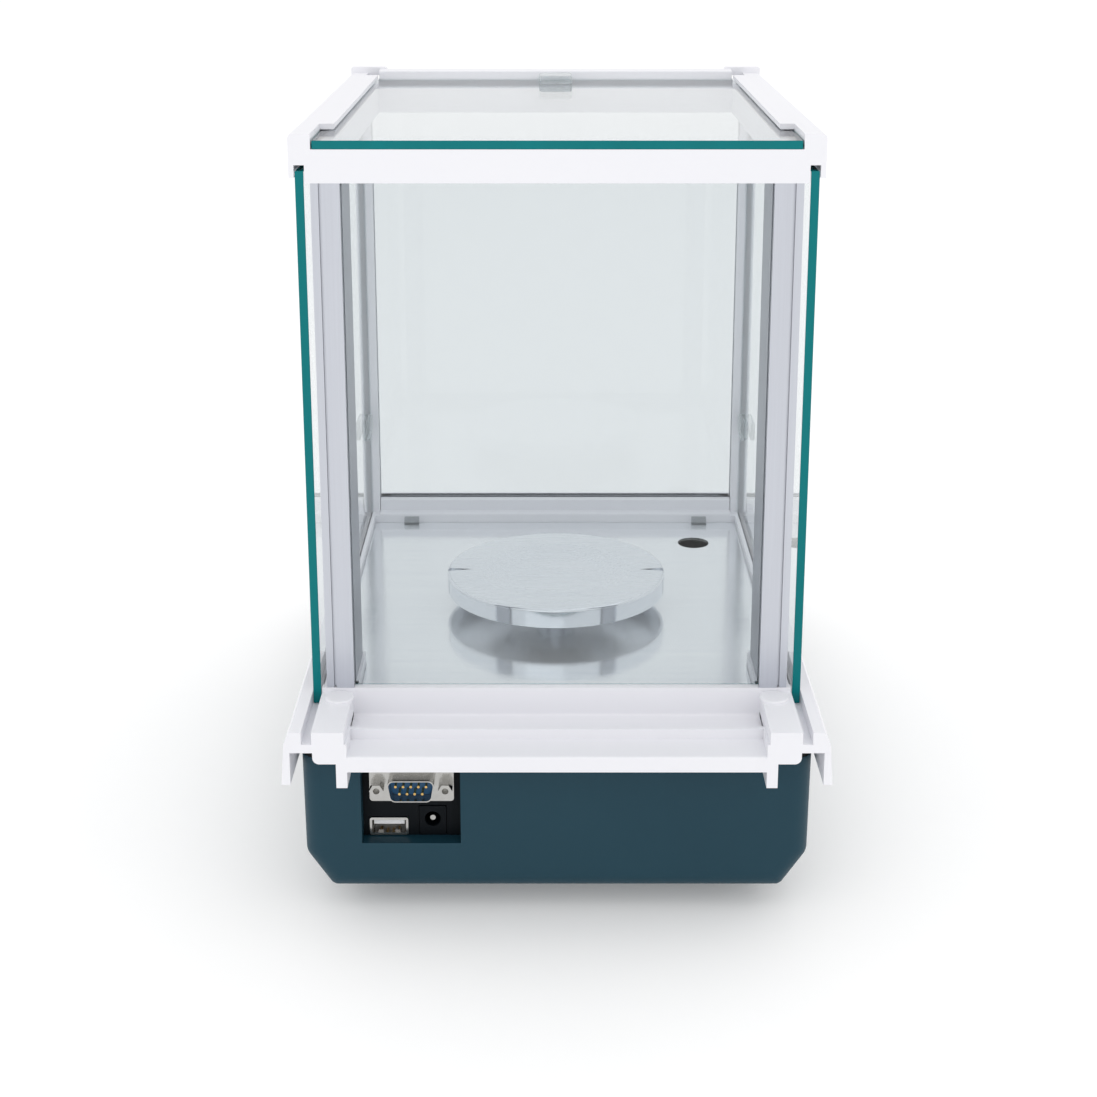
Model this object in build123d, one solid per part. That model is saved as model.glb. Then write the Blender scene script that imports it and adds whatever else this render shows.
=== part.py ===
"""Analytical balance with a glass draft shield, in millimetres.

X is the width, -Y the front with the display and keys, +Y the rear with the
connectors, and +Z is up. The origin is on the table, under the middle of the
object. Each function makes one piece or one set of equal pieces.
"""

import os
from math import atan2, cos, degrees, radians, sin

from build123d import *

# Overall form
HALF_LENGTH = 168.0
HALF_WIDTH = 97.4
FOOT_HEIGHT = 9.0
PLAY = 0.3

# Lower housing: a tub with chamfered long edges
TUB_HALF_BOTTOM = 82.7
TUB_HALF_CHAMFER = 92.2
TUB_HALF_RIM = 92.6
TUB_CHAMFER_TOP = FOOT_HEIGHT + 14.0
TUB_RIM = FOOT_HEIGHT + 53.4
TUB_REAR = 154.0
TUB_FRONT = -164.0
TUB_FRONT_RIM = 33.0
TUB_WALL = 3.0
CONSOLE_BREAK = -70.0
SEAL_HEIGHT = 3.2

# Upper cover: a moulding with the chamber tray, door grooves and console
COVER_WALL = 3.2
DECK_BOTTOM = 71.4
DECK_TOP = 74.6
COVER_TOP = 79.2
LIP_FLAT_HALF = 94.2
LIP_WIDE_HALF = 96.3
SKIRT_BOTTOM = 59.2
SHELF_TOP = 69.8
SHELF_HALF = 75.0
SHELF_LIP_BOTTOM = 64.0
LEG_BOTTOM = 57.9
LEG_WIDTH = 3.9
TRAY_HALF = 84.8
TRAY_FRONT = -63.5
SILL_STEP = 80.4
SILL_TOP = 85.8
SILL_STRIP = 80.9
CONSOLE_TOP_Y = -81.0
CONSOLE_END_Y = -160.0
CONSOLE_END_Z = 50.0

# Draft shield
GLASS = 3.0
DOOR_X = 88.2
GROOVE = 3.6
CHAMBER_REAR = 134.0
DOOR_FRONT = -68.5
DOOR_BOTTOM = DECK_TOP + 0.2
DOOR_TOP = 272.0
BEAM_BOTTOM = 267.8
BEAM_TOP = 279.4
RAIL_TOP = 284.7
RAIL_HALF = 91.8
RAIL_INNER = 84.1
RAIL_LEDGE = 79.0
RAIL_GROOVE_TOP = 274.0
RAIL_LIP_BOTTOM = 269.6
RAIL_FLANGE_INNER = 78.9
RAIL_FLANGE = 2.0
RAIL_FLANGE_START = 106.0
RAIL_FRONT = -82.0
BEAM_DEPTH = 12.0
FRONT_BEAM_TOP = 286.4
FRONT_GLASS_Y = -73.5
FRONT_POST_IN = 82.9
FRONT_POST_OUT = 90.3
POST_IN = 74.5
POST_OUT = 84.6
POST_DEPTH = 32.0
REAR_GLASS_Y = 129.5
TOP_GLASS_HALF = 83.6
TOP_GLASS_FRONT = -69.7

# Weighing chamber floor and pan
FLOOR_TOP = 75.9
FLOOR_THICKNESS = 1.2
PAN_Y = 39.0
PAN_RADIUS = 45.0
PAN_TOP = 91.3
PAN_RIM = 7.6
PAN_SHEET = 1.2
PAN_DISH_RADIUS = 31.0
PAN_DISH_DEPTH = 2.4
SUPPORT_HOLE = 9.0
LEVEL_X, LEVEL_Y = -63.0, -35.3
LEVEL_RADIUS = 7.0
CLIP_X = 67.5

# Rear connectors, as standard parts
PORT_FACE = 148.0
PORT_LEFT, PORT_RIGHT = 35.0, 71.1
PORT_BOTTOM = FOOT_HEIGHT + 19.5
SERIAL_X, SERIAL_Z = 53.0, FOOT_HEIGHT + 40.1
SERIAL_SCREWS = 25.0
USB_X, USB_Z = 61.6, FOOT_HEIGHT + 23.4
POWER_X, POWER_Z = 45.5, FOOT_HEIGHT + 26.0

# Console
SLOPE = atan2(COVER_TOP - CONSOLE_END_Z, CONSOLE_TOP_Y - CONSOLE_END_Y)
WINDOW = (104.0, 36.0)
WINDOW_AT = 26.0
KEY_SIZE = (19.4, 10.4)
KEY_PITCH = 26.0
KEY_AT = 62.0
KEY_PROUD = 1.0
KEY_TRAVEL = 0.8
KEY_NAMES = ("power", "menu", "print", "units", "calibrate", "tare")

# Feet
FOOT_WHEEL_RADIUS = 12.5
FOOT_TRAVEL = 1.0
REAR_FEET = (62.0, 116.0)
FRONT_FEET = (62.0, -122.0)
HOUSING_SCREWS = ((80.0, 136.0), (80.0, -20.0), (76.0, -120.0))


def slab(x0, x1, y0, y1, z0, z1):
    """A rectangular solid between two corners."""
    size = (x1 - x0, y1 - y0, z1 - z0)
    return Pos((x0 + x1) / 2, (y0 + y1) / 2, (z0 + z1) / 2) * Box(*size)


def rod(radius, x, y, z0, z1):
    """An upright cylinder between two heights."""
    return Pos(x, y, (z0 + z1) / 2) * Cylinder(radius, z1 - z0)


def rounded_face(points, radii=None):
    """A closed outline, with some of its corners rounded: radii maps a corner's number to its radius."""
    face = make_face(Polyline(*points, close=True))
    for number, radius in (radii or {}).items():
        corner = Vector(*points[number])
        face = fillet(face.vertices().sort_by(lambda v: (Vector(v) - corner).length)[0], radius)
    return face


def across(points, x0, x1, radii=None):
    """An outline in (Y, Z), carried along X."""
    return extrude(Plane.YZ.offset(x0) * rounded_face(points, radii), amount=x1 - x0)


def along(points, y0, y1, radii=None):
    """An outline in (X, Z), carried along Y."""
    return extrude(Plane.XZ.offset(-y1) * rounded_face(points, radii), amount=y1 - y0)


def both_sides(solid):
    """A piece of the +X side together with its mirror image."""
    return solid + mirror(solid, Plane.YZ)


def plan_block(half, y0, y1, front=0.0, rear=0.0):
    """A tall block seen in plan as a rectangle, with its two front or two rear corners rounded."""
    corners = [(-half, y0), (half, y0), (half, y1), (-half, y1)]
    radii = {number: radius for number, radius in enumerate((front, front, rear, rear)) if radius}
    return extrude(rounded_face(corners, radii), amount=2 * COVER_TOP)


def rim_height(y, rise=0.0):
    """Height of the parting line between tub and cover: level at the rear, sloping at the front."""
    slope = (TUB_RIM - TUB_FRONT_RIM) / (CONSOLE_BREAK - TUB_FRONT)
    return rise + min(TUB_RIM, TUB_FRONT_RIM + slope * (y - TUB_FRONT))


def parting_band(y_front, y_rear, low, high):
    """Outline in (Y, Z) of a band that follows the parting line."""
    return [
        (y_rear, TUB_RIM + low),
        (y_rear, TUB_RIM + high),
        (CONSOLE_BREAK, TUB_RIM + high),
        (y_front, rim_height(y_front, high)),
        (y_front, rim_height(y_front, low)),
        (CONSOLE_BREAK, TUB_RIM + low),
    ]


def console(distance, x=0.0, rise=0.0):
    """A place on the console: distance down the slope from its top edge, X, and height along the normal."""
    y = CONSOLE_TOP_Y - distance * cos(SLOPE) - rise * sin(SLOPE)
    z = COVER_TOP - distance * sin(SLOPE) + rise * cos(SLOPE)
    return Pos(x, y, z) * Rot(X=degrees(SLOPE))


def plate(width, height, radius, low, high):
    """A rounded rectangle in the console's plane, between two heights along its normal."""
    return extrude(Pos(0, 0, low) * RectangleRounded(width, height, radius), amount=high - low)


# ---------------------------------------------------------------- casing


def tub_form(inset, top):
    """The tub's outer form, or its cavity when inset by the wall: a chamfered section met by a side outline."""
    floor = FOOT_HEIGHT + inset
    section = [
        (-TUB_HALF_BOTTOM + inset / 2, floor),
        (TUB_HALF_BOTTOM - inset / 2, floor),
        (TUB_HALF_CHAMFER - inset, TUB_CHAMFER_TOP + inset / 2),
        (TUB_HALF_RIM - inset, TUB_RIM + top),
        (-TUB_HALF_RIM + inset, TUB_RIM + top),
        (-TUB_HALF_CHAMFER + inset, TUB_CHAMFER_TOP + inset / 2),
    ]
    rounding = {0: 3.0, 1: 3.0, 2: 6.0, 5: 6.0}
    body = along(section, TUB_FRONT + inset, TUB_REAR - inset, rounding)
    side = [
        (TUB_REAR - inset, floor),
        (TUB_REAR - inset, TUB_RIM + top),
        (CONSOLE_BREAK, TUB_RIM + top),
        (TUB_FRONT + inset, TUB_FRONT_RIM + top),
        (TUB_FRONT + inset + 3.0, FOOT_HEIGHT + 13.0 + inset / 2),
        (TUB_FRONT + inset + 16.0, floor),
    ]
    body = body & across(side, -TUB_HALF_RIM, TUB_HALF_RIM)
    body = body & plan_block(TUB_HALF_RIM - inset, TUB_FRONT + inset, TUB_REAR, front=10.0 - inset)
    corners = body.edges().filter_by(lambda e: abs(e.center().Y - TUB_REAR + inset) < 0.01)
    corners = corners.filter_by(lambda e: abs(e.center().X) > TUB_HALF_CHAMFER - inset - 0.5)
    return fillet(corners, 7.0 - inset)


def lower_housing():
    """The tub with its connector recess, screw bosses and foot bosses."""
    tub = tub_form(0.0, 0.0) - tub_form(TUB_WALL, 20.0)
    pocket = slab(PORT_LEFT - 2, PORT_RIGHT + 2, PORT_FACE - 2, TUB_REAR - 1, PORT_BOTTOM - 2, TUB_RIM)
    tub += pocket
    tub -= slab(PORT_LEFT, PORT_RIGHT, PORT_FACE, TUB_REAR + 1, PORT_BOTTOM, TUB_RIM + 1)
    tub -= slab(PORT_LEFT, PORT_RIGHT, PORT_FACE - 5, PORT_FACE + 1, PORT_BOTTOM, TUB_RIM + 1)
    for x, y in HOUSING_SCREWS:
        boss = rod(5.0, x, y, FOOT_HEIGHT + 1, rim_height(y, -8.0)) & tub_form(0.5, 0.0)
        tub += both_sides(boss)
        tub -= both_sides(rod(1.6, x, y, FOOT_HEIGHT - 1, TUB_RIM))
        tub -= both_sides(rod(3.2, x, y, FOOT_HEIGHT - 1, FOOT_HEIGHT + 4))
    x, y = REAR_FEET
    tub += both_sides(rod(8.0, x, y, FOOT_HEIGHT + 1, FOOT_HEIGHT + 14))
    tub -= both_sides(rod(3.05, x, y, FOOT_HEIGHT - 1, FOOT_HEIGHT + 20))
    tub -= rod(11.0, 0, PAN_Y, FOOT_HEIGHT - 1, FOOT_HEIGHT + 5)
    return tub


def cover_shell():
    """The cover's outer form with its hollow underside: a side outline met by a section with sloping flanks."""
    skirt_drop = TUB_RIM - SKIRT_BOTTOM
    side = [
        (HALF_LENGTH, SKIRT_BOTTOM),
        (HALF_LENGTH, COVER_TOP),
        (CONSOLE_TOP_Y, COVER_TOP),
        (CONSOLE_END_Y, CONSOLE_END_Z),
        (-HALF_LENGTH, CONSOLE_END_Z - 8.0),
        (-HALF_LENGTH, rim_height(-HALF_LENGTH, -skirt_drop)),
        (CONSOLE_BREAK, SKIRT_BOTTOM),
    ]
    form = across(side, -HALF_WIDTH, HALF_WIDTH, {3: 8.0, 4: 5.0})
    flank = [
        (-HALF_WIDTH, 0),
        (HALF_WIDTH, 0),
        (HALF_WIDTH, SKIRT_BOTTOM),
        (LIP_WIDE_HALF, DECK_TOP),
        (LIP_FLAT_HALF, COVER_TOP),
        (-LIP_FLAT_HALF, COVER_TOP),
        (-LIP_WIDE_HALF, DECK_TOP),
        (-HALF_WIDTH, SKIRT_BOTTOM),
    ]
    form = form & along(flank, -HALF_LENGTH, HALF_LENGTH, {3: 2.0, 6: 2.0})
    form = form & plan_block(HALF_WIDTH, -HALF_LENGTH, HALF_LENGTH, front=12.0)
    drop = COVER_WALL / cos(SLOPE)
    meet = CONSOLE_TOP_Y - (COVER_TOP - drop - DECK_BOTTOM) / (sin(SLOPE) / cos(SLOPE))
    hollow = [
        (HALF_LENGTH + 1, 0),
        (HALF_LENGTH + 1, DECK_BOTTOM),
        (meet, DECK_BOTTOM),
        (CONSOLE_END_Y + 1, CONSOLE_END_Z - drop + 0.4),
        (COVER_WALL - HALF_LENGTH, CONSOLE_END_Z - 11.0),
        (COVER_WALL - HALF_LENGTH, 0),
    ]
    inner = HALF_WIDTH - COVER_WALL
    cavity = across(hollow, -inner, inner, {3: 6.0, 4: 4.0})
    return form - (cavity & plan_block(inner, COVER_WALL - HALF_LENGTH, HALF_LENGTH + 1, front=9.0))


def rear_shelf():
    """The stepped shelf behind the chamber, with its hanging lip and the two legs and corner tabs beside it."""
    outline = [
        (CHAMBER_REAR - 3, COVER_TOP),
        (CHAMBER_REAR, COVER_TOP),
        (CHAMBER_REAR, SHELF_TOP),
        (HALF_LENGTH, SHELF_TOP),
        (HALF_LENGTH, SHELF_LIP_BOTTOM),
        (HALF_LENGTH - 2.2, SHELF_LIP_BOTTOM),
        (HALF_LENGTH - 2.2, SHELF_TOP - 2.5),
        (CHAMBER_REAR - 3, SHELF_TOP - 2.5),
    ]
    shelf = across(outline, -SHELF_HALF, SHELF_HALF, {2: 1.2, 3: 0.9, 6: 1.0})
    leg_in = SHELF_HALF - 0.9
    leg_out = leg_in + LEG_WIDTH
    leg = slab(leg_in, leg_out, TUB_REAR + 0.4, HALF_LENGTH, LEG_BOTTOM, DECK_TOP)
    tab = [
        (leg_out - 0.1, DECK_BOTTOM + 0.5),
        (leg_out - 0.1, DECK_BOTTOM - 4.3),
        (leg_out + 8.2, DECK_BOTTOM - 4.3),
        (leg_out + 8.2, DECK_BOTTOM + 0.5),
    ]
    leg += along(tab, TUB_REAR + 0.8, HALF_LENGTH, {2: 2.4})
    return shelf + both_sides(leg)


def upper_cover():
    """The white moulding: chamber tray, door grooves, corner blocks, rear shelf, front sill and console."""
    cover = cover_shell()
    cover -= slab(-SHELF_HALF, SHELF_HALF, CHAMBER_REAR - 1, HALF_LENGTH + 1, SKIRT_BOTTOM, COVER_TOP + 1)
    cover += rear_shelf()
    tray = slab(-TRAY_HALF, TRAY_HALF, TRAY_FRONT, CHAMBER_REAR - 3, DECK_TOP, COVER_TOP + 1)
    pad_front = CHAMBER_REAR - POST_DEPTH - 1.5
    pad = slab(POST_IN - 1, TRAY_HALF + 1, pad_front, CHAMBER_REAR, DECK_TOP - 1, SILL_STRIP)
    cover = cover - tray + both_sides(pad)
    strip_half = DOOR_X - GROOVE / 2
    cover += slab(-strip_half, strip_half, CHAMBER_REAR - 3, CHAMBER_REAR, COVER_TOP - 1, SILL_STRIP)
    sill = [
        (TRAY_FRONT, DECK_TOP - 1),
        (TRAY_FRONT, SILL_STEP),
        (DOOR_FRONT, SILL_STEP),
        (DOOR_FRONT, SILL_TOP),
        (CONSOLE_TOP_Y + 1.5, SILL_TOP),
        (CONSOLE_TOP_Y - 2, COVER_TOP - 2),
    ]
    cover += across(sill, PLAY - FRONT_POST_IN, FRONT_POST_IN - PLAY, {1: 1.0, 3: 1.0, 4: 2.5})
    slot = FRONT_GLASS_Y - GLASS / 2 - 0.1
    cover -= slab(-FRONT_POST_IN, FRONT_POST_IN, slot, slot + GLASS + 0.2, SILL_TOP - 4, SILL_TOP + 1)
    groove = slab(DOOR_X - GROOVE / 2, DOOR_X + GROOVE / 2, DOOR_FRONT - 0.3, HALF_LENGTH + 1, DECK_TOP, SILL_TOP)
    cover -= both_sides(groove)
    cover += cover_rib()
    for x, y in HOUSING_SCREWS:
        boss = rod(4.5, x, y, rim_height(y, -7.9), DECK_BOTTOM + 1) & cover_fill()
        cover += both_sides(boss)
        cover -= both_sides(rod(1.25, x, y, 0, skin_bottom(y) - 1))
    cover -= rod(SUPPORT_HOLE, 0, PAN_Y, DECK_BOTTOM - 1, DECK_TOP + 1)
    cover -= rod(LEVEL_RADIUS + 2.6, LEVEL_X, LEVEL_Y, DECK_BOTTOM - 1, DECK_TOP + 1)
    cover -= rod(LEVEL_RADIUS + 4.2, LEVEL_X, LEVEL_Y, DECK_TOP - 1.0, DECK_TOP + 1)
    return cover - console_cuts()


def cover_fill():
    """All the space under the cover's skin, used to trim what stands inside it."""
    side = [
        (HALF_LENGTH - 1, 0),
        (HALF_LENGTH - 1, DECK_TOP - 1),
        (CONSOLE_TOP_Y + 2, DECK_TOP - 1),
        (CONSOLE_TOP_Y, COVER_TOP - 2),
        (CONSOLE_END_Y, CONSOLE_END_Z - 2),
        (CONSOLE_END_Y, 0),
    ]
    return across(side, 1 - HALF_WIDTH, HALF_WIDTH - 1)


def skin_bottom(y):
    """Height of the underside of the cover's skin: level under the deck, falling under the console."""
    fall = max(0.0, CONSOLE_TOP_Y - y) * sin(SLOPE) / cos(SLOPE)
    return min(DECK_BOTTOM, COVER_TOP - COVER_WALL / cos(SLOPE) - fall)


def cover_rib():
    """The locating rib that presses the seal down on the tub's rim."""
    half, rear, front = TUB_HALF_RIM - 0.6, TUB_REAR - 0.6, TUB_FRONT + 0.6
    outer = across(parting_band(front, rear, SEAL_HEIGHT, 30), -half, half)
    outer = outer & plan_block(half, front, rear, front=9.4, rear=6.4)
    inner = slab(2.4 - half, half - 2.4, front + 2.4, rear - 2.4, 0, COVER_TOP + 40)
    return (outer - inner) & cover_fill()


def console_cuts():
    """Window recess, display opening and key openings, all square to the console."""
    cuts = console(WINDOW_AT) * plate(WINDOW[0], WINDOW[1], 3.0, -1.4, 5.0)
    cuts += console(WINDOW_AT) * plate(WINDOW[0] - 8, WINDOW[1] - 8, 2.0, -6.0, 1.0)
    for x in key_places():
        cuts += console(KEY_AT, x) * plate(KEY_SIZE[0] + 0.8, KEY_SIZE[1] + 0.8, 2.4, -6.0, 5.0)
    return cuts


def rim_seal():
    """The foam strip on the tub's rim."""
    half, rear, front = TUB_HALF_RIM - 0.3, TUB_REAR - 0.3, TUB_FRONT + 0.3
    band = across(parting_band(front, rear, 0, SEAL_HEIGHT), -half, half)
    band = band - slab(2.7 - half, half - 2.7, front + 2.7, rear - 2.7, 0, COVER_TOP)
    band = band & plan_block(half, front, rear, front=9.7, rear=6.8)
    return band - slab(PORT_LEFT - 3, PORT_RIGHT + 3, PORT_FACE - 6, TUB_REAR - 3, 0, COVER_TOP)


# ---------------------------------------------------------------- draft shield


def rear_post():
    """One aluminium post: a deep flat bar with an outer strip, a glass slot and two screw channels."""
    rear, front = CHAMBER_REAR, CHAMBER_REAR - POST_DEPTH
    slot0, slot1 = REAR_GLASS_Y - GLASS / 2 - 0.1, REAR_GLASS_Y + GLASS / 2 + 0.1
    outline = Polyline(
        (POST_IN, front + 0.8), (POST_IN, slot0), (POST_IN + 1.8, slot0), (POST_IN + 1.8, slot1),
        (POST_IN, slot1), (POST_IN, rear), (81.0, rear), (81.0, rear - 1.6), (81.9, rear - 1.6),
        (81.9, rear - 0.4), (POST_OUT, rear - 0.4), (POST_OUT, rear - 12), (81.0, rear - 12),
        (81.0, front), (POST_IN + 0.8, front), close=True,
    )  # fmt: skip
    post = extrude(Pos(0, 0, SILL_STRIP) * make_face(outline), amount=BEAM_BOTTOM - SILL_STRIP)
    for y in (rear - 10, front + 8):
        post -= rod(1.6, 78.0, y, SILL_STRIP - 1, SILL_STRIP + 25)
    return post


def front_post():
    """One slim white front post, with a slot for the front glass."""
    y0, y1 = FRONT_GLASS_Y - 4.0, DOOR_FRONT - 0.3
    post = slab(FRONT_POST_IN, FRONT_POST_OUT, y0, y1, COVER_TOP, BEAM_BOTTOM)
    post = fillet(post.edges().filter_by(Axis.Z).sort_by(Axis.X)[-2:], 1.5)
    slot = FRONT_GLASS_Y - GLASS / 2 - 0.1
    return post - slab(FRONT_POST_IN - 1, FRONT_POST_IN + 1.8, slot, slot + GLASS + 0.2, 0, BEAM_BOTTOM + 1)


def rail_section(top_half=RAIL_INNER):
    """Section of a top rail: ledge for the top glass, groove for the side glass and outer lip."""
    groove_in, groove_out = DOOR_X - GROOVE / 2, DOOR_X + GROOVE / 2
    return [
        (RAIL_LEDGE, BEAM_BOTTOM),
        (groove_in, BEAM_BOTTOM),
        (groove_in, RAIL_GROOVE_TOP),
        (groove_out, RAIL_GROOVE_TOP),
        (groove_out, RAIL_LIP_BOTTOM),
        (RAIL_HALF, RAIL_LIP_BOTTOM),
        (RAIL_HALF, RAIL_TOP),
        (top_half, RAIL_TOP),
        (top_half, BEAM_TOP),
        (RAIL_LEDGE, BEAM_TOP),
    ]


def top_rail():
    """One top rail, with the flange that holds the top glass down."""
    rail = along(rail_section(), RAIL_FRONT, CHAMBER_REAR - BEAM_DEPTH, {6: 1.6})
    flange = [
        (RAIL_FLANGE_INNER, RAIL_TOP - RAIL_FLANGE),
        (RAIL_INNER + 0.5, RAIL_TOP - RAIL_FLANGE),
        (RAIL_INNER + 0.5, RAIL_TOP),
        (RAIL_FLANGE_INNER, RAIL_TOP),
    ]
    rail += along(flange, FRONT_GLASS_Y + 6, RAIL_FLANGE_START, {0: 0.5})
    block = slab(RAIL_LEDGE - 3.0, RAIL_HALF, RAIL_FRONT, RAIL_FRONT + 5, RAIL_TOP - 1, FRONT_BEAM_TOP + 0.8)
    return rail + fillet(block.edges().filter_by(Axis.Y).sort_by(Axis.Z)[-2:], 0.8)


def rear_top_beam():
    """The rear cross member, with the two corner caps that close the rails."""
    half = DOOR_X - GROOVE / 2
    y0 = CHAMBER_REAR - BEAM_DEPTH
    beam = slab(-half, half, y0, CHAMBER_REAR, BEAM_BOTTOM, BEAM_TOP)
    cap = along(rail_section(), y0, CHAMBER_REAR, {6: 1.6})
    return beam + both_sides(cap)


def front_top_beam():
    """The front cross member, raised above the top glass and slotted for the front glass."""
    y0, y1 = RAIL_FRONT, TOP_GLASS_FRONT - 0.3
    outline = [
        (y0, BEAM_BOTTOM),
        (y1, BEAM_BOTTOM),
        (y1, FRONT_BEAM_TOP),
        (y0, FRONT_BEAM_TOP),
    ]
    beam = across(outline, -RAIL_LEDGE, RAIL_LEDGE, {2: 0.8, 3: 3.0})
    slot = FRONT_GLASS_Y - GLASS / 2 - 0.1
    beam -= slab(-FRONT_POST_IN, FRONT_POST_IN, slot, slot + GLASS + 0.2, BEAM_BOTTOM - 1, BEAM_BOTTOM + 5)
    flange = slab(-100, 100, y0 + 5, 0, RAIL_TOP - RAIL_FLANGE, FRONT_BEAM_TOP + 1)
    cheek = slab(RAIL_FLANGE_INNER - 3, 100, y0 - 1, y0 + 5, RAIL_TOP - 1.2, 300)
    return beam - (flange - slab(-RAIL_LEDGE + 0.4, RAIL_LEDGE - 0.4, -100, 0, 0, 300)) - both_sides(cheek)


def pane(x0, x1, y0, y1, z0, z1):
    """A sheet of glass with its edges ground off."""
    sheet = slab(x0, x1, y0, y1, z0, z1)
    return chamfer(sheet.edges(), 0.25)


def front_glass():
    reach = FRONT_POST_IN + 1.5
    y0 = FRONT_GLASS_Y - GLASS / 2
    return pane(-reach, reach, y0, y0 + GLASS, SILL_TOP, BEAM_BOTTOM) + slab(
        -RAIL_LEDGE + 0.6, RAIL_LEDGE - 0.6, y0, y0 + GLASS, SILL_TOP - 3.7, BEAM_BOTTOM + 4.6
    )


def rear_glass():
    reach = POST_IN + 1.5
    y0 = REAR_GLASS_Y - GLASS / 2
    return pane(-reach, reach, y0, y0 + GLASS, SILL_STRIP + 0.1, BEAM_BOTTOM - 0.1)


def side_door_glass():
    return pane(DOOR_X - GLASS / 2, DOOR_X + GLASS / 2, DOOR_FRONT, CHAMBER_REAR, DOOR_BOTTOM, DOOR_TOP)


def side_door_handle():
    """A grip clipped round the glass at its front edge: two cheeks joined by holes in the glass plane."""
    y0, length, height, bottom = DOOR_FRONT + 3.0, 16.0, 8.8, 120.0
    reach = 3.2
    grip = slab(DOOR_X - reach, DOOR_X + reach, y0, y0 + length, bottom, bottom + height)
    grip = fillet(grip.edges().filter_by(Axis.X), 1.8)
    grip = fillet(grip.faces().sort_by(Axis.X)[-1].edges(), 0.8)
    grip = fillet(grip.faces().sort_by(Axis.X)[0].edges(), 0.8)
    return grip - slab(DOOR_X - GLASS / 2, DOOR_X + GLASS / 2, y0 - 1, y0 + length + 1, 0, 200)


def top_door_glass():
    return pane(-TOP_GLASS_HALF, TOP_GLASS_HALF, TOP_GLASS_FRONT, CHAMBER_REAR, BEAM_TOP, BEAM_TOP + GLASS)


def top_door_handle():
    """A grip clipped round the top glass near its front edge."""
    y0, y1, half = TOP_GLASS_FRONT + 3.0, TOP_GLASS_FRONT + 19.0, 7.2
    middle = BEAM_TOP + GLASS / 2
    grip = slab(-half, half, y0, y1, middle - 5.0, middle + 5.0)
    grip = fillet(grip.edges().filter_by(Axis.Z), 2.0)
    grip = fillet(grip.faces().sort_by(Axis.Z)[-1].edges(), 1.0)
    grip = fillet(grip.faces().sort_by(Axis.Z)[0].edges(), 1.0)
    return grip - slab(-half - 1, half + 1, y0 - 1, y1 + 1, BEAM_TOP, BEAM_TOP + GLASS)


# ---------------------------------------------------------------- chamber floor, pan and level


def floor_plate():
    """The stainless tray, notched round the posts, with holes for the pan support and the level."""
    half = TRAY_HALF - 0.2
    z0 = FLOOR_TOP - FLOOR_THICKNESS
    sheet = slab(-half, half, TRAY_FRONT + 0.2, CHAMBER_REAR - 3.2, z0, FLOOR_TOP)
    notch = slab(POST_IN - 1.2, half + 1, CHAMBER_REAR - POST_DEPTH - 1.7, CHAMBER_REAR, z0 - 1, FLOOR_TOP + 1)
    sheet = sheet - both_sides(notch)
    sheet = fillet(sheet.edges().filter_by(Axis.Z).sort_by(Axis.Y)[:2], 2.0)
    return sheet - rod(6.5, 0, PAN_Y, 0, 100) - rod(LEVEL_RADIUS, LEVEL_X, LEVEL_Y, 0, 100)


def floor_clips():
    """Two small clips that hold the tray's front edge under the sill."""
    y0 = TRAY_FRONT + 0.3
    outline = [
        (y0, FLOOR_TOP),
        (y0 + 4.0, FLOOR_TOP),
        (y0 + 4.0, FLOOR_TOP + 1.0),
        (y0 + 1.2, FLOOR_TOP + 3.0),
        (y0, FLOOR_TOP + 3.0),
    ]
    return both_sides(across(outline, CLIP_X - 3.4, CLIP_X + 3.4, {2: 0.5}))


def weighing_pan():
    """The pan: a pressed dish with a flat rim, turned-down edge, two centring notches and a seat under it."""
    r, top, sheet = PAN_RADIUS, PAN_TOP, PAN_SHEET
    low = top - PAN_RIM
    dish = top - PAN_DISH_DEPTH
    outline = Polyline(
        (0, dish), (PAN_DISH_RADIUS - 11.0, dish), (PAN_DISH_RADIUS, top), (r, top), (r, low),
        (r - sheet, low), (r - sheet, top - sheet), (PAN_DISH_RADIUS + 0.4, top - sheet),
        (PAN_DISH_RADIUS - 11.0, dish - sheet), (8.0, dish - sheet), (8.0, dish - 7.0),
        (0, dish - 7.0), close=True,
    )  # fmt: skip
    face = make_face(outline)
    outer = face.vertices().sort_by(lambda v: abs(v.X - r) + abs(v.Y - top))[0]
    face = fillet(outer, 1.1)
    dish_corner = face.vertices().sort_by(lambda v: abs(v.X - PAN_DISH_RADIUS + 11) + abs(v.Y - dish))[0]
    face = fillet(dish_corner, 20.0)
    pan = revolve(Plane.XZ * face, Axis.Z)
    taper = Pos(0, 0, dish - 7.0 + 2.45) * Cone(5.05, 4.05, 5.0)
    wedge = make_face(Polyline((r - 10.5, 0), (r + 1, 2.0), (r + 1, -2.0), close=True))
    notch = extrude(Pos(0, 0, top - 2.2) * wedge, amount=5)
    return Pos(0, PAN_Y, 0) * (pan - taper - notch - mirror(notch, Plane.YZ))


def pan_support():
    """The stem from the weigh cell up to the pan, with a tapered tip and a collar."""
    dish_seat = PAN_TOP - PAN_DISH_DEPTH - 7.0
    outline = Polyline(
        (0, 46.0), (4.0, 46.0), (4.0, dish_seat - 6.0), (5.5, dish_seat - 5.0), (5.5, dish_seat - 0.1),
        (5.0, dish_seat - 0.1), (4.02, dish_seat + 4.8), (0, dish_seat + 4.8), close=True,
    )  # fmt: skip
    return Pos(0, PAN_Y, 0) * revolve(Plane.XZ * make_face(outline), Axis.Z)


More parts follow.
